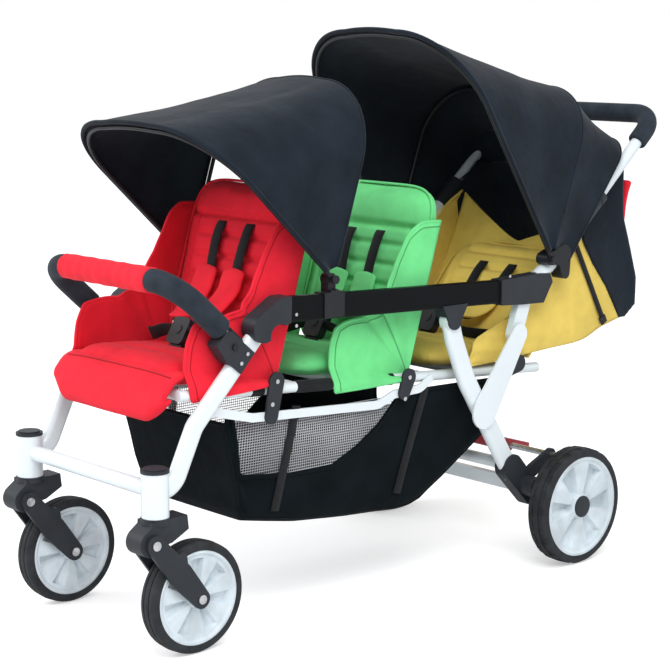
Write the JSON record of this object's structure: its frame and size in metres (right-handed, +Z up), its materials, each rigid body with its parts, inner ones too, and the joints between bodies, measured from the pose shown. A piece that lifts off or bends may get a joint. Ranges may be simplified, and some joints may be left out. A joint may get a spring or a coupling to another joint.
{
  "type": "triple stroller",
  "caption": "Tandem stroller with padded seats in a row, sun canopies, swivel front wheels, a bumper bar, an under-seat basket and a folding rear frame with a telescopic push handle.",
  "frame": {"origin": "on the ground under the middle of the stroller's length and width", "axes": "+Z up, -Y towards the front wheels, +X to the stroller's left"},
  "size_m": [0.598, 1.38, 1.0713],
  "materials": {
    "white_frame": "smooth white powder coat",
    "black_plastic": "fine matt moulding",
    "black_rail": "satin black",
    "red_fabric": "padded woven polyester",
    "green_fabric": "padded woven polyester",
    "yellow_fabric": "padded woven polyester",
    "black_fabric": "coated woven polyester",
    "tyre": "matt foam rubber",
    "white_rim": "smooth white moulding",
    "steel": "plated",
    "red_plastic": "smooth red moulding",
    "foam": "matt closed-cell foam"
  },
  "bodies": {
    "chassis": {"front_legs": "white_frame", "front_cross_tube": "white_frame", "head_tube_caps": "black_plastic", "side_rails": "black_rail", "rail_elbows": "black_plastic", "rail_connectors": "black_plastic", "seat_rails": "white_frame", "seat_bars": "white_frame", "seat_cross_tubes": "white_frame", "recline_plates": "black_plastic", "handle_uprights": "white_frame", "handle_collars": "black_plastic", "leg_brackets": "black_plastic", "bumper_brackets": "black_plastic", "front_seat": "red_fabric", "middle_seat": "green_fabric", "rear_seat": "yellow_fabric", "rear_seat_tub": "yellow_fabric", "rear_back_panel": "black_fabric", "rear_tab": "red_fabric", "basket": "black_fabric", "canopy_clips": "black_plastic", "canopy_rear_bows": "black_plastic", "front_canopy": "black_fabric", "rear_canopy": "black_fabric", "harness_buckles": "black_plastic"},
    "rear_frame": {"rear_legs": "white_frame", "wheel_brackets": "black_plastic", "rear_cross_tubes": "white_frame"},
    "brace_plates": {"brace_plates": "white_frame"},
    "brace_arms": {"brace_arms": "white_frame"},
    "rear_wheel_left": {"rear_tyre_left": "tyre", "rear_rim_left": "white_rim"},
    "rear_wheel_right": {"rear_tyre_right": "tyre", "rear_rim_right": "white_rim"},
    "brake": {"brake_rod": "steel", "brake_pedal": "red_plastic"},
    "caster_left": {"caster_housing_left": "black_plastic"},
    "caster_right": {"caster_housing_right": "black_plastic"},
    "fork_left": {"fork_left": "black_plastic"},
    "fork_right": {"fork_right": "black_plastic"},
    "front_wheel_left": {"front_tyre_left": "tyre", "front_rim_left": "white_rim"},
    "front_wheel_right": {"front_tyre_right": "tyre", "front_rim_right": "white_rim"},
    "handle": {"push_handle": "white_frame", "handle_grip": "foam"},
    "bumper": {"bumper_bar": "steel", "bumper_pads": "foam", "bumper_sleeve": "red_fabric"},
    "front_back": {"front_backrest": "red_fabric"},
    "middle_back": {"middle_backrest": "green_fabric"},
    "rear_back": {"rear_backrest": "yellow_fabric"},
    "front_hood_bow": {"front_canopy_bow": "black_plastic"},
    "rear_hood_bow": {"rear_canopy_bow": "black_plastic"},
    "bumper_button_left": {"bumper_button_left": "black_plastic"},
    "bumper_button_right": {"bumper_button_right": "black_plastic"},
    "front_buckle_button": {"front_buckle_button": "black_plastic"},
    "middle_buckle_button": {"middle_buckle_button": "black_plastic"},
    "rear_buckle_button": {"rear_buckle_button": "black_plastic"}
  },
  "joints": [
    {"name": "rear_leg_fold", "type": "hinge", "parent": "chassis", "child": "rear_frame", "pos_m": [0, 0.05411, 0.52], "axis": [1, 0, 0], "range_deg": [0, 28]},
    {"name": "brace_arm_fold", "type": "hinge", "parent": "chassis", "child": "brace_arms", "pos_m": [0, 0.26911, 0.567], "axis": [1, 0, 0], "range_deg": [0, 75]},
    {"name": "brace_plate_fold", "type": "hinge", "parent": "rear_frame", "child": "brace_plates", "pos_m": [0, 0.14011, 0.33], "axis": [1, 0, 0], "range_deg": [-43, 0]},
    {"name": "rear_wheel_spin_left", "type": "hinge", "parent": "rear_frame", "child": "rear_wheel_left", "pos_m": [0.276, 0.34911, 0.119], "axis": [1, 0, 0], "continuous": true},
    {"name": "caster_swivel_left", "type": "hinge", "parent": "chassis", "child": "caster_left", "pos_m": [0.193, -0.64289, 0.255], "axis": [0, 0, 1], "continuous": true},
    {"name": "fork_suspension_left", "type": "hinge", "parent": "caster_left", "child": "fork_left", "pos_m": [0.193, -0.66189, 0.213], "axis": [1, 0, 0], "range_deg": [0, 4], "stiffness_Nm_per_rad": 160, "springref_deg": -5.73},
    {"name": "front_wheel_spin_left", "type": "hinge", "parent": "fork_left", "child": "front_wheel_left", "pos_m": [0.193, -0.56589, 0.1], "axis": [1, 0, 0], "continuous": true},
    {"name": "rear_wheel_spin_right", "type": "hinge", "parent": "rear_frame", "child": "rear_wheel_right", "pos_m": [-0.276, 0.34911, 0.119], "axis": [1, 0, 0], "continuous": true},
    {"name": "caster_swivel_right", "type": "hinge", "parent": "chassis", "child": "caster_right", "pos_m": [-0.193, -0.64289, 0.255], "axis": [0, 0, 1], "continuous": true},
    {"name": "fork_suspension_right", "type": "hinge", "parent": "caster_right", "child": "fork_right", "pos_m": [-0.193, -0.66189, 0.213], "axis": [1, 0, 0], "range_deg": [0, 4], "stiffness_Nm_per_rad": 160, "springref_deg": -5.73},
    {"name": "front_wheel_spin_right", "type": "hinge", "parent": "fork_right", "child": "front_wheel_right", "pos_m": [-0.193, -0.56589, 0.1], "axis": [1, 0, 0], "continuous": true},
    {"name": "brake_pedal_press", "type": "hinge", "parent": "rear_frame", "child": "brake", "pos_m": [0, 0.34211, 0.214], "axis": [-1, 0, 0], "range_deg": [0, 18]},
    {"name": "handle_slide", "type": "slide", "parent": "chassis", "child": "handle", "axis": [0, 0.749, 0.6626], "range_m": [0, 0.05]},
    {"name": "bumper_pull", "type": "slide", "parent": "chassis", "child": "bumper", "axis": [0, -0.7431, 0.6691], "range_m": [0, 0.06]},
    {"name": "bumper_button_left_press", "type": "slide", "parent": "chassis", "child": "bumper_button_left", "axis": [-1, 0, 0], "range_m": [0, 0.0025], "stiffness_N_per_m": 300, "springref_m": -0.002},
    {"name": "bumper_button_right_press", "type": "slide", "parent": "chassis", "child": "bumper_button_right", "axis": [1, 0, 0], "range_m": [0, 0.0025], "stiffness_N_per_m": 300, "springref_m": -0.002},
    {"name": "front_back_recline", "type": "hinge", "parent": "chassis", "child": "front_back", "pos_m": [0, -0.36789, 0.452], "axis": [-1, 0, 0], "range_deg": [0, 15]},
    {"name": "middle_back_recline", "type": "hinge", "parent": "chassis", "child": "middle_back", "pos_m": [0, -0.03789, 0.418], "axis": [-1, 0, 0], "range_deg": [0, 15]},
    {"name": "rear_back_recline", "type": "hinge", "parent": "chassis", "child": "rear_back", "pos_m": [0, 0.27411, 0.408], "axis": [-1, 0, 0], "range_deg": [0, 14]},
    {"name": "front_hood_fold", "type": "hinge", "parent": "chassis", "child": "front_hood_bow", "pos_m": [0, -0.25789, 0.628], "axis": [-1, 0, 0], "range_deg": [0, 48], "deforming": ["front_canopy"]},
    {"name": "rear_hood_fold", "type": "hinge", "parent": "chassis", "child": "rear_hood_bow", "pos_m": [0, 0.31611, 0.619], "axis": [-1, 0, 0], "range_deg": [0, 42], "deforming": ["rear_canopy"]},
    {"name": "front_buckle_press", "type": "slide", "parent": "chassis", "child": "front_buckle_button", "axis": [0, 0.866, -0.5], "range_m": [0, 0.0025], "stiffness_N_per_m": 300, "springref_m": -0.002},
    {"name": "middle_buckle_press", "type": "slide", "parent": "chassis", "child": "middle_buckle_button", "axis": [0, 0.866, -0.5], "range_m": [0, 0.0025], "stiffness_N_per_m": 300, "springref_m": -0.002},
    {"name": "rear_buckle_press", "type": "slide", "parent": "chassis", "child": "rear_buckle_button", "axis": [0, 0.866, -0.5], "range_m": [0, 0.0025], "stiffness_N_per_m": 300, "springref_m": -0.002}
  ],
  "couplings": [
    {"joint": "brace_arm_fold", "follows": "rear_leg_fold", "ratio": 2.623},
    {"joint": "brace_plate_fold", "follows": "rear_leg_fold", "ratio": -1.496}
  ]
}
